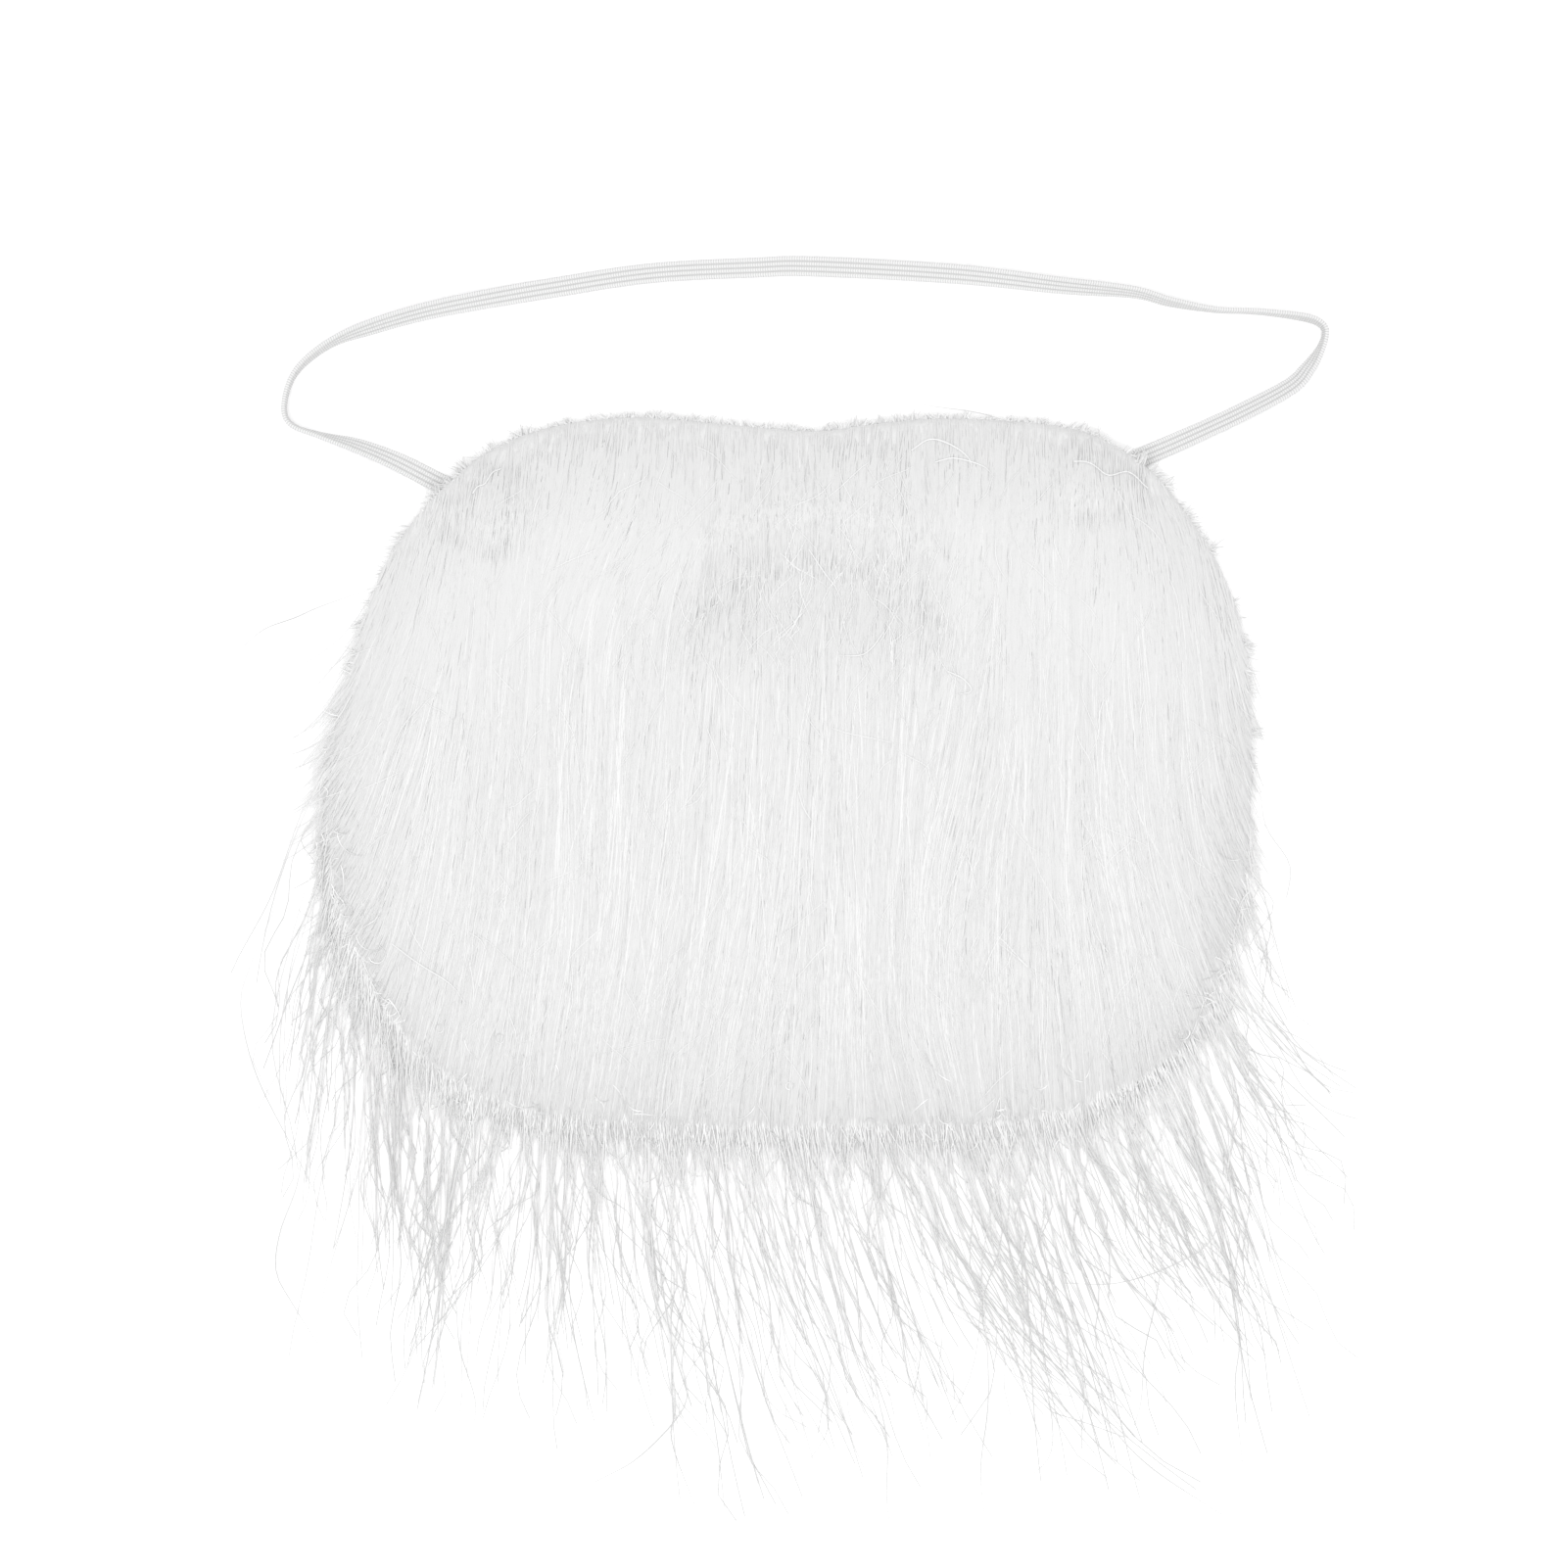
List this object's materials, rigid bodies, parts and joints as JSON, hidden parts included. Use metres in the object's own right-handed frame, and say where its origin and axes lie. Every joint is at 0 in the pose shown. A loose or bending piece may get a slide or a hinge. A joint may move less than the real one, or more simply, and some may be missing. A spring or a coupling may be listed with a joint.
{
  "type": "fake beard",
  "caption": "Full white false beard of long straight fur fabric, with a mouth slit under the hair and a flat elastic loop that goes round the head.",
  "frame": {"origin": "middle of the backing cloth's flat underside, which rests on the table", "axes": "+Z out of the fur, +Y towards the top edge that goes under the nose, +X to the right as seen from the fur's side"},
  "size_m": [0.2725, 0.3113, 0.0156],
  "materials": {
    "knit_backing": "matte knit",
    "white_pile": "soft sheen",
    "braided_elastic": "matte ribbed"
  },
  "bodies": {
    "root": {"backing": "knit_backing", "fur_pile": "white_pile", "elastic_strap": "braided_elastic"}
  },
  "joints": []
}
